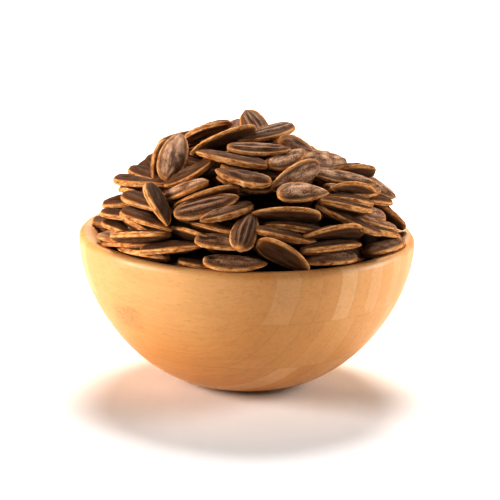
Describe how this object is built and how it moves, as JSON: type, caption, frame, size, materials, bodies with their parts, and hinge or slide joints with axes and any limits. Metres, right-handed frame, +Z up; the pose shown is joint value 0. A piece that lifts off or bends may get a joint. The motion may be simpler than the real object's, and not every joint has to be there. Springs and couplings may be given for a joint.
{
  "type": "bowl of sunflower seeds",
  "caption": "Small round bamboo bowl heaped high with roasted sunflower seeds in their dark brown shells.",
  "frame": {"origin": "middle of the bowl's flat foot, on the surface that it stands on", "axes": "+Z up along the bowl's axis; -Y is the side that the picture shows; +X is to the right in the picture"},
  "size_m": [0.12, 0.12, 0.0975],
  "materials": {
    "bamboo": "satin",
    "seed_shell": "matte"
  },
  "bodies": {
    "root": {"bowl": "bamboo", "seed_heap": "seed_shell"}
  },
  "joints": []
}
